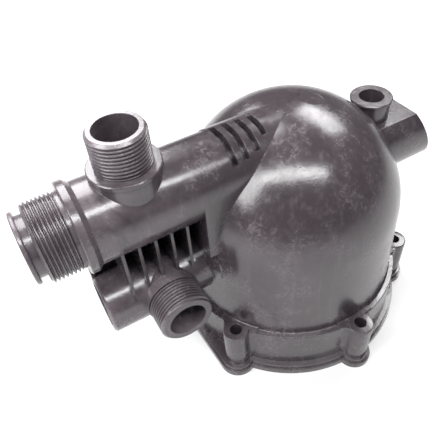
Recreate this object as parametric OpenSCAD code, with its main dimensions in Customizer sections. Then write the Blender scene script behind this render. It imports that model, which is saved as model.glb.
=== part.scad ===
// Pump cover: one moulded piece. A round cap on a bolted flange, with a threaded
// manifold pipe, a drain cylinder under it, a side outlet and a sensor boss.
// Origin: centre of the flange's underside. +Z runs up the cap's axis, and the
// manifold pipe runs out along -X.

/* [Cap] */
// Outer radius of the round cap
cap_r = 77.2; // [72:0.1:82]
// Height of the centre of the cap's round top
cap_centre_z = 97.5; // [94:0.5:104]
// Widening of the cap's wall for each millimetre downwards
cap_draft = 0.045; // [0.02:0.005:0.06]
// Wall of the cap and the flange
shell_wall = 4.2; // [3.2:0.1:5]
// Fillet where the cap stands on the flange's ledge
cap_fillet = 1.2; // [0.8:0.1:3]
// Radius of the flat mark left by the moulding gate
gate_mark_r = 8.4; // [5:0.1:8.6]
// Distance of the gate mark from the cap's axis
gate_mark_x = 14; // [10:0.5:20]
// Depth of the gate mark below the round top
gate_mark_depth = 0.8; // [0.7:0.05:1.2]

/* [Flange] */
// Height of the ledge on top of the flange
ledge_z = 40.5; // [36:0.5:46]
// Outer radius of the flange's skirt at the ledge
skirt_r = 84.1; // [82.5:0.1:88]
// Widening of the skirt for each millimetre downwards
skirt_draft = 0.015; // [0:0.005:0.03]
// Rounding of the skirt's top edge
skirt_round = 0.5; // [0.4:0.1:1.6]
// Inner radius of the seat inside the skirt
seat_r = 79.8; // [78:0.1:81]
// Outer radius of the lip at the foot of the flange
lip_r = 89.4; // [88:0.1:92]
// Height of the lip
lip_h = 9; // [7:0.5:12]
// Height of the step round the lip's edge
lip_step_z = 4.8; // [3:0.2:6]
// Width of the step round the lip's edge
lip_step = 1.2; // [0.8:0.1:1.6]

/* [Bolts] */
// Radius of the circle of bolts
bolt_circle_r = 87; // [85:0.5:90]
// Number of bolts
bolt_count = 6; // [4:1:8]
// Turn of the whole bolt pattern about the cap's axis, in degrees
bolt_turn = 1.4; // [0:0.1:2]
// Radius of the bolt holes
bolt_hole_r = 4.2; // [3.2:0.1:5]
// Outer radius of the pillars round the bolts
pillar_r = 9.1; // [8.5:0.1:11]
// Height of the pads on top of the pillars above the ledge
pad_rise = 1.5; // [1:0.1:3]
// Rounding of the pillars' top edge
pad_round = 0.8; // [0.4:0.1:1.2]
// Fillet between a pillar and the skirt
pillar_fillet = 6; // [4:0.5:8]
// Half of the angle that a pad takes up on the ledge
pad_half_angle = 9.9; // [8:0.1:11]
// Outer radius of the lip round each pillar
lobe_r = 12; // [11.5:0.1:15]
// Outer radius of the lip round the two pillars under the pipe
side_lobe_r = 13.4; // [12.5:0.1:15]

/* [Manifold pipe] */
// Height of the pipe's axis
pipe_z = 148.9; // [147:0.1:150]
// Outer radius of the pipe
pipe_r = 25.4; // [23:0.1:26]
// Bore radius of the pipe
pipe_bore_r = 15.5; // [14:0.1:16]
// Distance of the pipe's open end from the cap's axis
pipe_end_x = 177.2; // [174:0.1:190]
// Outer radius of the rim at the open end
rim_r = 21.4; // [20:0.1:23]
// Width of the rim at the open end
rim_w = 2.6; // [2:0.1:4]
// Radius of the seal groove behind the rim
neck_r = 18.5; // [17.5:0.1:19.5]
// Width of the seal groove behind the rim
neck_w = 4.4; // [3:0.1:6]
// Crest radius of the main thread
main_thread_r = 23.9; // [22:0.05:24.5]
// Length of the main thread
main_thread_l = 18.5; // [14:0.1:20]
// Radius of the plain band behind the main thread
band_r = 23.2; // [22.5:0.1:24]
// Outer radius of the pipe's collar
collar_r = 28; // [26.5:0.1:30]
// Width of the pipe's collar
collar_w = 4.7; // [3:0.1:6]
// Distance of the collar's outer face from the cap's axis
collar_x = 149.4; // [146:0.1:151]
// Length of the slope behind the collar
collar_flank = 3; // [1:0.1:5]
// Height of the step along the parting line on top of the pipe
parting_step = 0.7; // [0.4:0.1:1.2]
// Distance of the parting step's inner end from the cap's axis
parting_end_x = 57; // [57:0.5:60]

/* [Pockets in the pipe's end] */
// Distance of the first pocket's outer side from the cap's axis
pocket_x = 55.7; // [54:0.1:56.5]
// Spacing of the pockets
pocket_pitch = 8.2; // [7.6:0.1:8.4]
// Width of each pocket
pocket_w = 3.9; // [3:0.1:4.5]
// Depth of the pockets below the pipe's surface
pocket_depth = 5.4; // [3:0.1:6]

/* [Top port] */
// Distance of the top port's axis from the cap's axis
top_port_x = 111.6; // [108:0.1:114]
// Height of the top port's rim above the pipe's axis
top_port_h = 53; // [48:0.1:60]
// Crest radius of the top port's thread
top_thread_r = 16.62; // [15.5:0.01:17.5]
// Length of the top port's thread
top_thread_l = 22.8; // [20:0.1:24]
// Bore radius of the top port
top_bore_r = 12.5; // [11:0.1:13]
// Radius of the top port's shoulder ring
top_ring_r = 21.2; // [20.5:0.1:22]
// Thickness of the top port's shoulder ring
top_ring_h = 3; // [2:0.1:4]
// Radius of the cylinder between the ring and the pipe
top_base_r = 20.5; // [19.5:0.1:20.9]

/* [Front port] */
// Distance of the front port's axis from the cap's axis
front_port_x = 105.8; // [103:0.1:109]
// Distance of the front port's rim from the drain cylinder's axis
front_port_l = 41.2; // [39:0.1:46]
// Crest radius of the front port's thread
front_thread_r = 18.5; // [16:0.05:18.6]
// Length of the front port's thread
front_thread_l = 19.4; // [16:0.1:19.8]
// Bore radius of the front port
front_bore_r = 12.7; // [11:0.1:13]
// Radius of the plain base of the front port
front_base_r = 19.2; // [18.8:0.1:19.6]

/* [Drain cylinder] */
// Height of the drain cylinder's axis
drain_z = 75.1; // [73:0.1:78]
// Outer radius of the drain cylinder
drain_r = 20.3; // [20:0.1:21.5]
// Bore radius of the drain cylinder
drain_bore_r = 16; // [14:0.1:16.2]
// Distance of the drain cylinder's open end from the cap's axis
drain_end_x = 148.6; // [144:0.1:152]

/* [Fins] */
// Number of fins between the pipe and the drain cylinder
fin_count = 5; // [3:1:5]
// Spacing of the fins
fin_pitch = 10.65; // [9.4:0.05:10.8]
// Thickness of the fins
fin_w = 2; // [1.8:0.1:3]
// Distance of the fin nearest the cap from the cap's axis
fin_first_x = 86.8; // [86:0.1:90]
// Half of the fins' depth from front to back
fin_half_depth = 15; // [13:0.1:17]
// Thickness of the wall that closes the fins at the back
back_wall = 2.3; // [1.8:0.1:3]
// Thickness of the rib at the open end of the back wall
end_rib = 2.4; // [1.8:0.1:3]
// Distance of the end rib's front edge behind the pipe's axis
end_rib_y = 9; // [4:0.5:12]
// Distance of the root block's outer face from the cap's axis
block_x = 78.3; // [77:0.1:81]
// Height of the root block's underside
block_z = 102.5; // [98:0.1:108]
// Radius of the rounded gusset under the root block, where it meets the cap
gusset_r = 18.5; // [17.5:0.1:19.5]
// Length over which the gusset swells to its radius
gusset_l = 4.4; // [3.5:0.1:6]
// Distance of the gusset's axis in front of the drain cylinder's axis
gusset_y = 10; // [8:0.1:11]
// Height of the gusset's axis
gusset_z = 85.5; // [84.5:0.1:87]

/* [Side outlet] */
// Height of the side outlet's axis
outlet_z = 119.7; // [118.5:0.1:121]
// Outer radius of the side outlet
outlet_r = 27.3; // [26.2:0.1:28.4]
// Height of the flat on top of the side outlet
outlet_top_z = 140; // [138.5:0.1:141.5]
// Height of the axis of the outlet's bore
outlet_bore_z = 116.2; // [115:0.1:117.5]
// Radius of the outlet's bore
outlet_bore_r = 19.6; // [17.5:0.1:20.4]
// Distance of the outlet's end from the cap's axis, measured on its own axis
outlet_end_x = 103.5; // [100:0.1:107]
// Lean of the outlet's end face towards the cap
outlet_lean = 22; // [15:0.1:25]

/* [Sensor boss] */
// Distance of the sensor boss from the cap's axis
boss_x = 67.4; // [66:0.1:69]
// Height of the sensor boss's rim
boss_z = 155.3; // [153:0.1:158]
// Radius of the sensor boss's rim
boss_rim_r = 14.5; // [13.8:0.1:15.5]
// Thickness of the sensor boss's rim
boss_rim_h = 2.6; // [2:0.1:5]
// Radius of the sensor boss below its rim
boss_r = 13.4; // [12:0.1:13.6]
// Radius of the threaded hole in the sensor boss
boss_hole_r = 8.5; // [7.5:0.05:9]
// Depth of the threaded hole in the sensor boss
boss_hole_depth = 12; // [9:0.1:12]
// Radius of the passage below the threaded hole
boss_passage_r = 5.5; // [4:0.1:6]

/* [Small edges] */
// Chamfer at the mouth of each port
mouth_chamfer = 1.5; // [0.8:0.1:2]
// Chamfer of plain edges
edge_chamfer = 0.6; // [0.3:0.1:1]

/* [Hidden] */
$fn = 120;

eps = 0.5; // how far a cut runs past a surface
inset = 0.3; // how far an inner part stops short of a face
fillet_bite = 0.06; // how far a pillar's fillets run into it and into the skirt, so that the arcs cross
far = 400; // longer than the part in any direction
cap_top_z = cap_centre_z + cap_r;
cap_inner_r = cap_r - shell_wall;
seat_top_z = ledge_z - shell_wall;
draft_len = sqrt(1 + cap_draft * cap_draft);
pad_z = ledge_z + pad_rise;
collar_in_x = collar_x - collar_w;
rim_x = pipe_end_x - rim_w;
thread_out_x = rim_x - neck_w;
thread_in_x = thread_out_x - main_thread_l;
top_rim_z = pipe_z + top_port_h;
top_ring_z = top_rim_z - top_thread_l;
front_thread_in = front_port_l - front_thread_l;
pocket_from = [35, 37.5, 43, 60]; // degrees up from the front, one for each pocket
pocket_to = [110, 108, 104, 100];

// Radius of the cap's outer wall at a height below its round top
function cap_wall_r(z) = cap_r + cap_draft * (cap_centre_z - z);

// Profile of a drafted wall under a round top, to be spun round the cap's axis
module cap_profile(r, foot_z) {
    polygon([[0, foot_z], [r + cap_draft * (cap_centre_z - foot_z), foot_z],
             [r, cap_centre_z], [0, cap_centre_z]]);
    translate([0, cap_centre_z]) intersection() {
        circle(r);
        square(r);
    }
}

// Profile of a concave fillet where the cap's wall stands on a flat at height z
module fillet_profile(z) {
    wall_r = cap_wall_r(z);
    centre_r = wall_r + cap_fillet * draft_len - cap_draft * cap_fillet;
    touch = [centre_r - cap_fillet / draft_len, z + cap_fillet - cap_fillet * cap_draft / draft_len];
    difference() {
        polygon([[wall_r - 1, z - eps], [centre_r, z - eps], [centre_r, z + cap_fillet], touch,
                 [wall_r - 1, touch[1]]]);
        translate([centre_r, z + cap_fillet]) circle(cap_fillet);
    }
}

module cap_outside() {
    rotate_extrude() {
        cap_profile(cap_r, seat_top_z);
        fillet_profile(ledge_z);
    }
}

// Everything inside the cap and the flange's seat
module cap_inside() {
    rotate_extrude() {
        cap_profile(cap_inner_r, seat_top_z - eps);
        translate([0, -eps]) square([seat_r, seat_top_z + eps]);
    }
}

module skirt() {
    foot_r = skirt_r + skirt_draft * ledge_z;
    rotate_extrude() {
        polygon([[0, 0], [foot_r, 0], [skirt_r, ledge_z - skirt_round],
                 [skirt_r - skirt_round, ledge_z - skirt_round], [skirt_r - skirt_round, ledge_z],
                 [0, ledge_z]]);
        translate([skirt_r - skirt_round, ledge_z - skirt_round]) circle(skirt_round, $fn = 48);
    }
}

module at_bolts() {
    for (i = [0 : bolt_count - 1])
        rotate(360 / bolt_count * (i + 0.5)) children();
}

// The two pillars under the pipe
module at_side_bolts() {
    for (side = [-1, 1]) rotate(180 + side * 180 / bolt_count) children();
}

// Plan of the lip: a disc with a lobe round each pillar and a straight side under the pipe
module lip_plan(step) {
    side_x = bolt_circle_r * cos(180 / bolt_count) + side_lobe_r - step;
    side_y = bolt_circle_r * sin(180 / bolt_count);
    intersection() {
        union() {
            circle(lip_r - step);
            at_bolts() translate([bolt_circle_r, 0]) circle(lobe_r - step);
            at_side_bolts() translate([bolt_circle_r, 0]) circle(side_lobe_r - step);
            translate([-side_x, -side_y]) square([side_x, 2 * side_y]);
        }
        translate([-side_x, -far / 2]) square(far);
    }
}

module lip() {
    linear_extrude(lip_step_z) lip_plan(0);
    linear_extrude(lip_h) lip_plan(lip_step);
}

// Plan of a pillar with its fillets to the skirt, on the +X axis
module pillar_plan() {
    to_fillet = skirt_r + pillar_fillet - fillet_bite;
    reach = pillar_r + pillar_fillet - fillet_bite;
    turn = acos((pow(to_fillet, 2) + pow(bolt_circle_r, 2) - pow(reach, 2))
                / (2 * to_fillet * bolt_circle_r));
    centre = to_fillet * [cos(turn), sin(turn)];
    on_skirt = centre * skirt_r / to_fillet;
    on_pillar = [bolt_circle_r, 0] + (centre - [bolt_circle_r, 0]) * pillar_r / reach;
    translate([bolt_circle_r, 0]) circle(pillar_r);
    for (side = [0, 1]) mirror([0, side]) difference() {
        polygon([[skirt_r - shell_wall / 2, 0], [bolt_circle_r, 0], on_pillar, centre, on_skirt,
                 on_skirt * (1 - shell_wall / 2 / skirt_r)]);
        translate(centre) circle(pillar_fillet);
    }
}

// Pillar, and its pad on the ledge
module pillar() {
    edge_r = skirt_r - inset; // of the pad
    linear_extrude(pad_z - pad_round) pillar_plan();
    translate([bolt_circle_r, 0, pad_z - pad_round]) rotate_extrude() {
        square([pillar_r - pad_round, pad_round]);
        translate([pillar_r - pad_round, 0]) intersection() {
            circle(pad_round, $fn = 48);
            square(pad_round);
        }
    }
    rotate(-pad_half_angle) rotate_extrude(angle = 2 * pad_half_angle) {
        polygon([[cap_r - shell_wall / 2, seat_top_z], [edge_r, seat_top_z],
                 [edge_r, pad_z - pad_round / 2], [edge_r - pad_round / 2, pad_z],
                 [cap_r - shell_wall / 2, pad_z]]);
        fillet_profile(pad_z);
    }
}

// Spins a profile of [radius, distance] round a line that runs out along -X
module along_pipe(z) {
    translate([0, 0, z]) rotate([0, -90, 0]) rotate_extrude() children();
}

module pipe() {
    c = edge_chamfer;
    along_pipe(pipe_z) polygon([
        [0, 0], [pipe_r, 0], [pipe_r, collar_in_x - collar_flank], [collar_r, collar_in_x],
        [collar_r, collar_x - c], [collar_r - c, collar_x], [band_r, collar_x], [band_r, thread_in_x],
        [main_thread_r, thread_in_x], [main_thread_r, thread_out_x - mouth_chamfer],
        [main_thread_r - mouth_chamfer, thread_out_x], [neck_r, thread_out_x], [neck_r, rim_x],
        [rim_r - c, rim_x], [rim_r, rim_x + c], [rim_r, pipe_end_x - c], [rim_r - c, pipe_end_x],
        [0, pipe_end_x]]);
}

// The back half of the pipe is a little lower than the front half beside the parting line
module parting_cut() {
    length = top_port_x - parting_end_x;
    intersection() {
        along_pipe(pipe_z) translate([pipe_r - parting_step, parting_end_x]) square([far, length]);
        translate([-top_port_x, 0, pipe_z]) cube([length, far, far]);
    }
}

module pockets() {
    for (i = [0 : len(pocket_from) - 1])
        translate([-pocket_x + i * pocket_pitch, 0, pipe_z]) rotate([0, 90, 0])
            rotate(-90 - pocket_to[i]) rotate_extrude(angle = pocket_to[i] - pocket_from[i])
                translate([pipe_r - pocket_depth, 0]) square([pocket_depth + collar_w, pocket_w]);
}

module top_port() {
    c = mouth_chamfer;
    translate([-top_port_x, 0, 0]) rotate_extrude() polygon([
        [0, pipe_z], [top_base_r, pipe_z], [top_base_r, top_ring_z - top_ring_h],
        [top_ring_r, top_ring_z - top_ring_h], [top_ring_r, top_ring_z - edge_chamfer],
        [top_ring_r - edge_chamfer, top_ring_z], [top_thread_r, top_ring_z],
        [top_thread_r, top_rim_z - c], [top_thread_r - c, top_rim_z], [0, top_rim_z]]);
}

module front_port() {
    c = mouth_chamfer;
    translate([-front_port_x, 0, drain_z]) rotate([90, 0, 0]) rotate_extrude() polygon([
        [0, 0], [front_base_r, 0], [front_base_r, front_thread_in], [front_thread_r, front_thread_in],
        [front_thread_r, front_port_l - c], [front_thread_r - c, front_port_l], [0, front_port_l]]);
}

module drain_cylinder() {
    c = mouth_chamfer;
    along_pipe(drain_z) polygon([[0, cap_inner_r - shell_wall], [drain_r, cap_inner_r - shell_wall],
        [drain_r, drain_end_x - c], [drain_r - c, drain_end_x], [0, drain_end_x]]);
}

// Plan of the fins, of the wall that closes them at the back, and of the solid at their root
module fins_plan() {
    out_x = drain_end_x - inset;
    wall_x = cap_r / 2; // inside the cap, where its cavity cuts the wall off
    for (i = [0 : fin_count - 1])
        translate([-fin_first_x - i * fin_pitch - fin_w / 2, -fin_half_depth])
            square([fin_w, 2 * fin_half_depth + back_wall / 2]);
    polygon([[-out_x, end_rib_y], [-out_x + end_rib, end_rib_y], [-out_x + end_rib, fin_half_depth],
             [-wall_x, fin_half_depth], [-wall_x, fin_half_depth + back_wall],
             [-out_x, fin_half_depth + back_wall]]);
    translate([-block_x + inset, -fin_half_depth])
        square([block_x - inset - wall_x, 2 * fin_half_depth + back_wall / 2]);
}

// Fins that tie the drain cylinder to the pipe, with the block and the gussets at their root
module fins() {
    translate([0, 0, drain_z]) linear_extrude(pipe_z - drain_z) fins_plan();
    translate([-block_x, -pipe_r, block_z]) cube([block_x - cap_r / 2, 2 * pipe_r, pipe_z - block_z]);
    for (side = [-1, 1]) translate([-block_x + 2 * inset, side * gusset_y, gusset_z]) rotate([0, 90, 0])
        rotate_extrude() polygon([[0, 0], [gusset_r / 3, 0], [gusset_r, gusset_l],
                                  [gusset_r, block_x - cap_r / 2], [0, block_x - cap_r / 2]]);
}

module side_outlet() {
    difference() {
        translate([cap_r / 2, 0, outlet_z]) rotate([0, 90, 0]) cylinder(r = outlet_r, h = cap_r);
        translate([outlet_end_x, 0, outlet_z]) rotate([0, -outlet_lean, 0])
            translate([0, -far / 2, -far / 2]) cube(far);
        translate([0, -far / 2, outlet_top_z]) cube(far);
    }
}

module sensor_boss() {
    c = edge_chamfer;
    translate([boss_x, 0, 0]) rotate_extrude() polygon([
        [0, outlet_z], [boss_r, outlet_z], [boss_r, boss_z - boss_rim_h],
        [boss_rim_r, boss_z - boss_rim_h + c], [boss_rim_r, boss_z - c], [boss_rim_r - c, boss_z],
        [0, boss_z]]);
}

module bores() {
    // manifold pipe, from its mouth into the cap
    translate([-pipe_end_x - eps, 0, pipe_z]) rotate([0, 90, 0]) cylinder(r = pipe_bore_r, h = pipe_end_x);
    // top port, down into the pipe
    translate([-top_port_x, 0, pipe_z]) cylinder(r = top_bore_r, h = top_port_h + eps);
    // drain cylinder, from its mouth into the cap
    translate([-drain_end_x - eps, 0, drain_z]) rotate([0, 90, 0])
        cylinder(r = drain_bore_r, h = drain_end_x);
    // front port, back into the drain cylinder
    translate([-front_port_x, 0, drain_z]) rotate([90, 0, 0])
        cylinder(r = front_bore_r, h = front_port_l + eps);
    // side outlet, out of the cap
    translate([0, 0, outlet_bore_z]) rotate([0, 90, 0]) cylinder(r = outlet_bore_r, h = far);
    // sensor boss, threaded hole and passage
    translate([boss_x, 0, boss_z - boss_hole_depth]) cylinder(r = boss_hole_r, h = boss_hole_depth + eps);
    translate([boss_x, 0, outlet_bore_z]) cylinder(r = boss_passage_r, h = boss_z - outlet_bore_z);
}

module gate_mark() {
    lean = asin(gate_mark_x / cap_r);
    translate([0, 0, cap_centre_z]) rotate([0, lean, 0])
        translate([0, 0, cap_r - gate_mark_depth]) cylinder(r = gate_mark_r, h = shell_wall);
}

module pump_cover() {
    color([0.36, 0.34, 0.36]) difference() {
        union() {
            cap_outside();
            skirt();
            rotate(bolt_turn) lip();
            rotate(bolt_turn) at_bolts() pillar();
            difference() {
                pipe();
                parting_cut();
            }
            top_port();
            drain_cylinder();
            front_port();
            fins();
            side_outlet();
            sensor_boss();
        }
        cap_inside();
        bores();
        pockets();
        gate_mark();
        rotate(bolt_turn) at_bolts() translate([bolt_circle_r, 0, -eps])
            cylinder(r = bolt_hole_r, h = pad_z + 2 * eps);
    }
}

pump_cover();
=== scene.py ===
from math import atan2, floor, hypot, pi, radians

import bmesh
import bpy
from mathutils import Matrix, Vector


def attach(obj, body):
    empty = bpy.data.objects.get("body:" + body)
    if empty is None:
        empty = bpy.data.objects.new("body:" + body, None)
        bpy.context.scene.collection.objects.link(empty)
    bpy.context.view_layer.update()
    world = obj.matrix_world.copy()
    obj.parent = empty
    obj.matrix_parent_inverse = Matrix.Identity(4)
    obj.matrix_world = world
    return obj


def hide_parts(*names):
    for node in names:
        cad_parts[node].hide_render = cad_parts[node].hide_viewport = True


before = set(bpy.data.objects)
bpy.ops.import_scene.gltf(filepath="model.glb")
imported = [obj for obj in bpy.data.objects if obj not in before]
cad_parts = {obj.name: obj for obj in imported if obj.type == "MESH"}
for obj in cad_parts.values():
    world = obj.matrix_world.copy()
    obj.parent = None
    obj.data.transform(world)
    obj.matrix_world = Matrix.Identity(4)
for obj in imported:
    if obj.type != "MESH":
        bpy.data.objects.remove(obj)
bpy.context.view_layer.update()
scene = bpy.context.scene
mm = 0.001
hair = 0.001 * mm  # a cut takes a vertex this near as lying in its plane


# The camera stands where the photograph was taken from, worked out from the cover's own outlines.

photoView = {
    "place": (-162.8, -211.7, 345.2),  # in millimetres from the flange's centre
    "lookAlong": (0.31361, 0.62540, -0.71451),
    "imageUp": (0.39557, 0.59802, 0.69706),
    "focalPixels": 496.0,
    "framePixels": 440.0,
    "sensorWidth": 36.0,
    "clipFrom": 10.0,
}


def addCamera():
    back = -Vector(photoView["lookAlong"]).normalized()
    right = Vector(photoView["imageUp"]).cross(back).normalized()
    up = back.cross(right)
    data = bpy.data.cameras.new("photoCamera")
    data.sensor_width = photoView["sensorWidth"]
    data.lens = photoView["sensorWidth"] * photoView["focalPixels"] / photoView["framePixels"]
    data.clip_start = photoView["clipFrom"] * mm
    camera = bpy.data.objects.new("photoCamera", data)
    pose = Matrix((right, up, back)).transposed().to_4x4()
    pose.translation = Vector(photoView["place"]) * mm
    camera.matrix_world = pose
    scene.collection.objects.link(camera)
    scene.camera = camera


addCamera()
print("camera placed")


# Shader values are written as sums: one class holds a socket, and another makes the nodes.

class Value:
    def __init__(self, paint, socket):
        self.paint = paint
        self.socket = socket

    def maths(self, operation, *others):
        return self.paint.maths(operation, self, *others)

    def __add__(self, other):
        return self.maths("ADD", other)

    def __sub__(self, other):
        return self.maths("SUBTRACT", other)

    def __rsub__(self, other):
        return self.paint.maths("SUBTRACT", other, self)

    def __mul__(self, other):
        return self.maths("MULTIPLY", other)

    __radd__ = __add__
    __rmul__ = __mul__

    def clamped(self):
        return self.maths("MAXIMUM", 0.0).maths("MINIMUM", 1.0)

    def between(self, low, high):  # 0 below low, 1 above high, and smooth between them
        return self.paint.add("ShaderNodeMapRange", {"interpolation_type": "SMOOTHSTEP"},
                              {"Value": self, "From Min": low, "From Max": high})


class Paint:
    sockets = {
        "colour": "Base Color",
        "rough": "Roughness",
        "normal": "Normal",
        "specular": "Specular IOR Level",
        "glow": "Emission Color",
        "glowStrength": "Emission Strength",
    }

    def __init__(self, name):
        self.material = bpy.data.materials.new(name)
        self.material.use_nodes = True
        self.nodes = self.material.node_tree.nodes
        self.links = self.material.node_tree.links
        self.surface = self.nodes["Principled BSDF"]

    def put(self, socket, value):
        if isinstance(value, Value):
            self.links.new(value.socket, socket)
        else:
            socket.default_value = value

    def add(self, kind, settings=None, values=None, out=0):
        node = self.nodes.new(kind)
        for key, setting in (settings or {}).items():
            setattr(node, key, setting)
        for key, value in (values or {}).items():
            self.put(node.inputs[key], value)
        return Value(self, node.outputs[out])

    def maths(self, operation, *values):
        return self.add("ShaderNodeMath", {"operation": operation}, dict(enumerate(values)))

    def place(self, stretch=(1.0, 1.0, 1.0)):
        point = self.add("ShaderNodeTexCoord", out="Object")
        return self.add("ShaderNodeMapping", None, {"Vector": point, "Scale": stretch})

    def noise(self, point, scale, detail, rough, stir):
        values = {"Vector": point, "Scale": scale, "Detail": detail, "Roughness": rough, "Distortion": stir}
        return self.add("ShaderNodeTexNoise", None, values)

    def part(self, vector, axis):
        return self.add("ShaderNodeSeparateXYZ", None, {"Vector": vector}, out=axis)

    def mix(self, share, first, second):  # colours in the Mix node are its sockets 6 and 7
        return self.add("ShaderNodeMix", {"data_type": "RGBA"}, {0: share, 6: first, 7: second}, out=2)

    def finish(self, **values):
        for key, value in values.items():
            self.put(self.surface.inputs[self.sockets[key]], value)
        return self.material


plastic = {
    "soot": (0.018, 0.015, 0.017, 1.0),
    "plain": (0.050, 0.039, 0.046, 1.0),
    "frost": (0.200, 0.170, 0.190, 1.0),
    "rough": (0.17, 0.36),  # of the plain plastic and of the frosted marks
    "gloss": 0.85,
    "edgeRadius": 0.6 * mm,  # how far the moulded edges look rounded
    "edgeSamples": 4,
    "bump": 0.16,
    "bumpHeight": 0.6 * mm,
    "scuffsAndPaintedTopLightAlong": (-0.120, -0.070),  # x in metres: full scuffs and painted top light beyond the first, and none after the second
    "scuffedBase": 0.35,  # scuffs on the manifold's sides, as a share of the scuffs and painted top light on its top
    "patterns": {  # scale, detail, roughness and stir
        "clouds": (30.0, 5.0, 0.65, 0.3),
        "worms": (260.0, 3.0, 0.65, 1.2),
        "streaks": (210.0, 3.0, 0.6, 0.0),
        "grain": (1500.0, 2.0, 0.6, 0.0),
        "soot": (34.0, 4.0, 0.6, 0.8),
    },
    "ramps": {  # no mark below the first value of the noise, and the full mark above the second
        "frostClouds": (0.42, 0.72),
        "frostWorms": (0.34, 0.72),
        "scuffsAndPaintedTopLight": (0.22, 0.60),
        "streaks": (0.50, 0.80),
        "dullStreaks": (0.45, 0.75),
        "soot": (0.56, 0.72),
        "paintedTopLight": (0.20, 0.85),  # of the surface's own direction, not of a noise: painted light that makes upward faces paler
    },
    "shares": {"frost": 0.58, "streaks": 0.18, "scuffsAndPaintedTopLight": 0.80, "soot": 0.50},  # in the colour
    "dulls": {"streaks": 0.07, "grain": 0.05},  # what they add to the roughness
    "relief": {"worms": 0.6, "grain": 0.25, "streaks": 0.35},  # in the bump's height
    "downTheCap": (1.0, 1.0, 0.05),  # draws the streaks out along z
    "sootStretch": (1.0, 1.0, 0.6),
}


def mouldedPlastic():
    paint = Paint("mouldedPlastic")
    point = paint.place()
    patterns, ramps = plastic["patterns"], plastic["ramps"]
    shares, dulls, relief = plastic["shares"], plastic["dulls"], plastic["relief"]
    clouds = paint.noise(point, *patterns["clouds"])
    worms = paint.noise(point, *patterns["worms"])
    grain = paint.noise(point, *patterns["grain"])
    streaks = paint.noise(paint.place(plastic["downTheCap"]), *patterns["streaks"])
    soot = paint.noise(paint.place(plastic["sootStretch"]), *patterns["soot"])
    frost = (clouds.between(*ramps["frostClouds"]) * worms.between(*ramps["frostWorms"])).clamped()

    # Painted light: the manifold's upward faces are made paler, as if lit from above. Its sides get scuffs
    # only.
    facing = paint.add("ShaderNodeNewGeometry", out="Normal")
    paintedTopLight = paint.part(facing, "Z").between(*ramps["paintedTopLight"])
    onManifold = 1 - paint.part(point, "X").between(*plastic["scuffsAndPaintedTopLightAlong"])
    scuffsAndPaintedTopLight = onManifold * (plastic["scuffedBase"] + paintedTopLight * (1 - plastic["scuffedBase"]))

    pale = frost * shares["frost"] + streaks.between(*ramps["streaks"]) * shares["streaks"]
    pale = pale + scuffsAndPaintedTopLight * clouds.between(*ramps["scuffsAndPaintedTopLight"]) * shares["scuffsAndPaintedTopLight"]
    colour = paint.mix(pale.clamped(), plastic["plain"], plastic["frost"])
    colour = paint.mix(soot.between(*ramps["soot"]) * shares["soot"], colour, plastic["soot"])

    low, high = plastic["rough"]
    rough = low + (high - low) * frost
    rough = rough + streaks.between(*ramps["dullStreaks"]) * dulls["streaks"] + grain * dulls["grain"]
    height = worms * relief["worms"] + grain * relief["grain"] + streaks * relief["streaks"]
    samples = {"samples": plastic["edgeSamples"]}
    edges = paint.add("ShaderNodeBevel", samples, {"Radius": plastic["edgeRadius"]})
    bump = paint.add("ShaderNodeBump", None, {"Strength": plastic["bump"], "Distance": plastic["bumpHeight"],
                                              "Height": height, "Normal": edges})
    return paint.finish(colour=colour, rough=rough.clamped(), normal=bump, specular=plastic["gloss"])


coverPlastic = mouldedPlastic()
print("plastic mixed")


# The cover is a copy of the moulding's own shape. Its plain port walls are cut away,
# and a helical wall is spun in their place, with the thread pressed into it.

cover = {
    "weld": 0.01 * mm,
    "creaseFrom": 10.6,  # degrees from which an edge between two surfaces is sharp
    "sharpFrom": 32.0,  # degrees from which any edge is sharp
}

thread = {  # lengths in millimetres
    "pitch": 2.309,
    "depth": 1.479,
    "chamfer": 1.5,
    "stepsAround": 120,
    "rowsPerPitch": 12,
    "crestHalf": 0.13,  # in pitches, half of a ridge's flat top
    "rootHalf": 0.42,  # in pitches, from a ridge's middle to its foot
    "runOut": 0.8,  # over which the ridges fade at the inner end
    "bandEnd": (0.93, 0.60),  # in turns: the mouth's band is gone at the first, and full before the second
    "spare": 1.1,  # in pitches, past both ends before the cut, over 1 because a turn sinks by 1
    "startLine": 0.0002,  # in turns, so that vertices on the start line don't read as a whole turn
    "merge": 0.2,  # in rows, the distance that closes the spun wall
    "near": 0.05,  # a vertex this near counts as lying on a wall
    "level": 0.02,  # a vertex this near counts as lying at a depth
    "loopReach": 1.0,  # outside the crest, within which an open edge belongs to the port
}

ports = {  # in millimetres; the thread runs inwards from the mouth, against the way out
    "top": {"mouth": (-111.6, 0.0, 201.9), "out": (0, 0, 1), "start": (0.82, -0.57, 0), "crest": 16.62,
            "length": 22.8, "inner": 12.5, "firstRidge": 0.94, "band": True},
    "main": {"mouth": (-170.2, 0.0, 148.9), "out": (-1, 0, 0), "start": (0, 0.6, -0.8), "crest": 23.9,
             "length": 18.5, "inner": 18.5, "firstRidge": -0.04, "band": False},
    "front": {"mouth": (-105.8, -41.2, 75.1), "out": (0, -1, 0), "start": (0.9, 0, 0.44), "crest": 18.5,
              "length": 19.4, "inner": 12.7, "firstRidge": 0.45, "band": True},
}


def portFrame(port):
    out = Vector(port["out"]).normalized()
    side = Vector(port["start"])
    side = (side - out * side.dot(out)).normalized()
    turn = Matrix((side, out.cross(side), out)).transposed().to_4x4()
    return Matrix.Translation(Vector(port["mouth"]) * mm) @ turn


def around(point):  # distance from the port's axis, and depth below its mouth, in millimetres
    return hypot(point.x, point.y) / mm, -point.z / mm


def smooth(value, low, high):
    share = min(max((value - low) / (high - low), 0.0), 1.0)
    return share * share * (3 - 2 * share)


def ridgeShape(away):  # away is in pitches from the ridge's middle
    return smooth(away, thread["rootHalf"], thread["crestHalf"])


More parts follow.
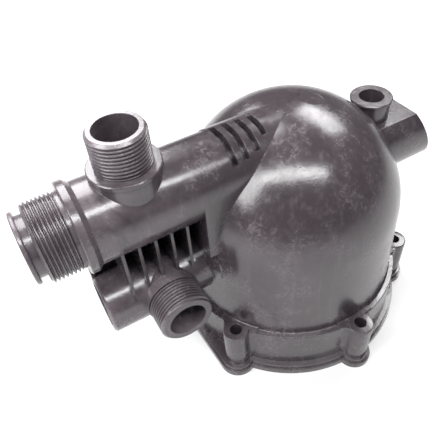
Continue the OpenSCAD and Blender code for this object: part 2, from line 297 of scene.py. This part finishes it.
def ridgeHeight(port, turned, depth):
    # turned is the share of a turn, clockwise from where the thread starts
    away = (depth - port["firstRidge"]) / thread["pitch"] - turned
    if away < 0:
        band = smooth(turned, *thread["bandEnd"]) if port["band"] else 0.0
        return max(ridgeShape(-away), band)
    return ridgeShape(abs(away - floor(away + 0.5)))


def pressThread(shape, port):
    root = port["crest"] - thread["depth"]
    for vert in shape.verts:
        radius, depth = around(vert.co)
        turned = (thread["startLine"] - atan2(vert.co.y, vert.co.x) / (2 * pi)) % 1.0
        fade = max((port["length"] - depth) / thread["runOut"], 0.0)
        ridge = root + thread["depth"] * min(ridgeHeight(port, turned, depth), fade)
        wanted = min(ridge, port["crest"] - max(thread["chamfer"] - depth, 0.0))
        vert.co.x *= wanted / radius
        vert.co.y *= wanted / radius


def threadedWall(port):
    shape = bmesh.new()
    step = thread["pitch"] / thread["rowsPerPitch"]
    top = thread["spare"] * thread["pitch"]
    rows = int((port["length"] + 2 * top) / step)
    line = [shape.verts.new((port["crest"] * mm, 0, (top - row * step) * mm)) for row in range(rows)]
    edges = [shape.edges.new(pair) for pair in zip(line, line[1:])]
    # the spin sinks by one pitch a turn, so that the rows follow the thread
    bmesh.ops.spin(shape, geom=line + edges, cent=(0, 0, 0), axis=(0, 0, 1), angle=-2 * pi,
                   dvec=(0, 0, -thread["pitch"] / thread["stepsAround"] * mm), steps=thread["stepsAround"],
                   use_merge=False, use_duplicate=False)
    bmesh.ops.remove_doubles(shape, verts=shape.verts, dist=thread["merge"] * step * mm)
    for depth, side in ((0.0, 1), (port["length"], -1)):
        everything = shape.verts[:] + shape.edges[:] + shape.faces[:]
        bmesh.ops.bisect_plane(shape, geom=everything, dist=hair, plane_co=(0, 0, -depth * mm),
                               plane_no=(0, 0, side), clear_outer=True)
    pressThread(shape, port)
    bmesh.ops.recalc_face_normals(shape, faces=shape.faces)
    sample = shape.faces[:][0]
    outwards = sample.calc_center_median() * Vector((1, 1, 0))
    if sample.normal.dot(outwards) < 0:
        bmesh.ops.reverse_faces(shape, faces=shape.faces)
    return shape


def plainWallFaces(shape, port):
    near = thread["near"]
    narrow = port["crest"] - thread["chamfer"] - near
    found = []
    for face in shape.faces:
        radii, depths = zip(*(around(vert.co) for vert in face.verts))
        depth = sum(depths) / len(depths)
        onDepth = near < depth < port["length"] + near
        onWall = onDepth and narrow < min(radii) and max(radii) < port["crest"] + near
        onMouth = abs(depth) < near and min(radii) > port["inner"] - near and max(radii) < port["crest"]
        if onWall or onMouth:
            found.append(face)
    return found


def openEdgesAt(shape, port, depth):
    found = []
    for edge in shape.edges:
        if edge.is_boundary:
            radii, depths = zip(*(around(vert.co) for vert in edge.verts))
            atDepth = all(abs(each - depth) < thread["level"] for each in depths)
            if atDepth and max(radii) < port["crest"] + thread["loopReach"]:
                found.append(edge)
    return found


def cutThread(shape, port):
    place = portFrame(port)
    shape.transform(place.inverted())
    bmesh.ops.delete(shape, geom=plainWallFaces(shape, port), context="FACES")
    wall = threadedWall(port)
    mesh = bpy.data.meshes.new("threadedWall")
    wall.to_mesh(mesh)
    wall.free()
    shape.from_mesh(mesh)
    bpy.data.meshes.remove(mesh)
    for depth in (0.0, port["length"]):
        bmesh.ops.bridge_loops(shape, edges=openEdgesAt(shape, port, depth))
    shape.transform(place)


def nameSurfaces(shape):
    # before the copy is merged, each of the moulding's surfaces is a sheet of its own
    surface = shape.faces.layers.int.new("surface")
    count = 0
    for first in shape.faces:
        if first[surface] == 0:
            count += 1
            first[surface] = count
            waiting = [first]
            while waiting:
                for edge in waiting.pop().edges:
                    for face in edge.link_faces:
                        if face[surface] == 0:
                            face[surface] = count
                            waiting.append(face)


def creaseEdges(shape):
    surface = shape.faces.layers.int["surface"]
    for edge in shape.edges:
        sides = {face[surface] for face in edge.link_faces}
        limit = cover["creaseFrom"] if len(sides) > 1 else cover["sharpFrom"]
        edge.smooth = edge.calc_face_angle(0.0) < radians(limit)
    for face in shape.faces:
        face.smooth = True
    shape.faces.layers.int.remove(surface)


def addCover():
    shape = bmesh.new()
    shape.from_mesh(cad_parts["pump_cover"].data)
    nameSurfaces(shape)
    bmesh.ops.remove_doubles(shape, verts=shape.verts, dist=cover["weld"])
    for port in ports.values():
        cutThread(shape, port)
    creaseEdges(shape)
    mesh = bpy.data.meshes.new("cover")
    shape.to_mesh(mesh)
    shape.free()
    if "custom_normal" in mesh.attributes:  # the moulding's own, which no longer fit
        mesh.attributes.remove(mesh.attributes["custom_normal"])
    mesh.materials.clear()
    mesh.materials.append(coverPlastic)
    piece = bpy.data.objects.new("cover", mesh)
    scene.collection.objects.link(piece)
    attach(piece, "root")
    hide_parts("pump_cover")
    print("cover copied,", len(mesh.polygons), "faces")


addCover()


# A pale floor that the camera and reflections see as white, and four soft lamps in a dim room.

studio = {
    "floorColour": (0.66, 0.66, 0.66, 1.0),
    "floorGlow": (0.25, 0.25, 0.25, 1.0),
    "floorRough": 0.9,
    "floorSize": 6.0,
    "noGlow": (0.0, 0.0, 0.0, 1.0),
    "roomColour": (1.0, 1.0, 1.0, 1.0),
    "roomLight": 0.12,
}

lamps = {  # place, width and height in metres, the point it faces, and its brightness
    "right": {"place": (0.76, 0.32, 0.95), "size": (0.66, 0.36),
              "faces": (-0.02, 0.0, 0.10), "bright": 12.0},
    "front": {"place": (-0.19, -0.34, 0.84), "size": (1.00, 0.13),
              "faces": (-0.02, -0.02, 0.14), "bright": 16.0},
    "back": {"place": (-0.06, 0.62, 0.84), "size": (0.40, 0.84),
             "faces": (-0.12, 0.0, 0.20), "bright": 8.0},
    "left": {"place": (-0.66, -0.02, 0.56), "size": (0.34, 0.40),
             "faces": (-0.14, 0.0, 0.15), "bright": 9.0},
}


def floorPaper():
    paint = Paint("floorPaper")
    kinds = ("Is Camera Ray", "Is Glossy Ray", "Is Transmission Ray")
    seen = sum(paint.add("ShaderNodeLightPath", out=kind) for kind in kinds).clamped()
    glow = paint.mix(seen, studio["noGlow"], studio["floorGlow"])
    return paint.finish(colour=studio["floorColour"], rough=studio["floorRough"],
                        glow=glow, glowStrength=1.0)


def addFloor():
    shape = bmesh.new()
    bmesh.ops.create_grid(shape, x_segments=1, y_segments=1, size=studio["floorSize"] / 2)
    mesh = bpy.data.meshes.new("floor")
    shape.to_mesh(mesh)
    shape.free()
    mesh.materials.append(floorPaper())
    piece = bpy.data.objects.new("floor", mesh)
    scene.collection.objects.link(piece)


def addLamps():
    for name, lamp in lamps.items():
        data = bpy.data.lights.new(name + "Lamp", "AREA")
        data.shape = "RECTANGLE"
        data.size, data.size_y = lamp["size"]
        data.energy = lamp["bright"] * pi * data.size * data.size_y
        piece = bpy.data.objects.new(name + "Lamp", data)
        piece.location = lamp["place"]
        way = Vector(lamp["faces"]) - Vector(lamp["place"])
        piece.rotation_euler = way.to_track_quat("-Z", "Y").to_euler()
        scene.collection.objects.link(piece)


def addRoom():
    world = bpy.data.worlds.new("room")
    scene.world = world
    world.use_nodes = True
    light = world.node_tree.nodes["Background"]
    light.inputs["Color"].default_value = studio["roomColour"]
    light.inputs["Strength"].default_value = studio["roomLight"]


addFloor()
addLamps()
addRoom()
scene.view_settings.view_transform = "Standard"
print("studio lit")
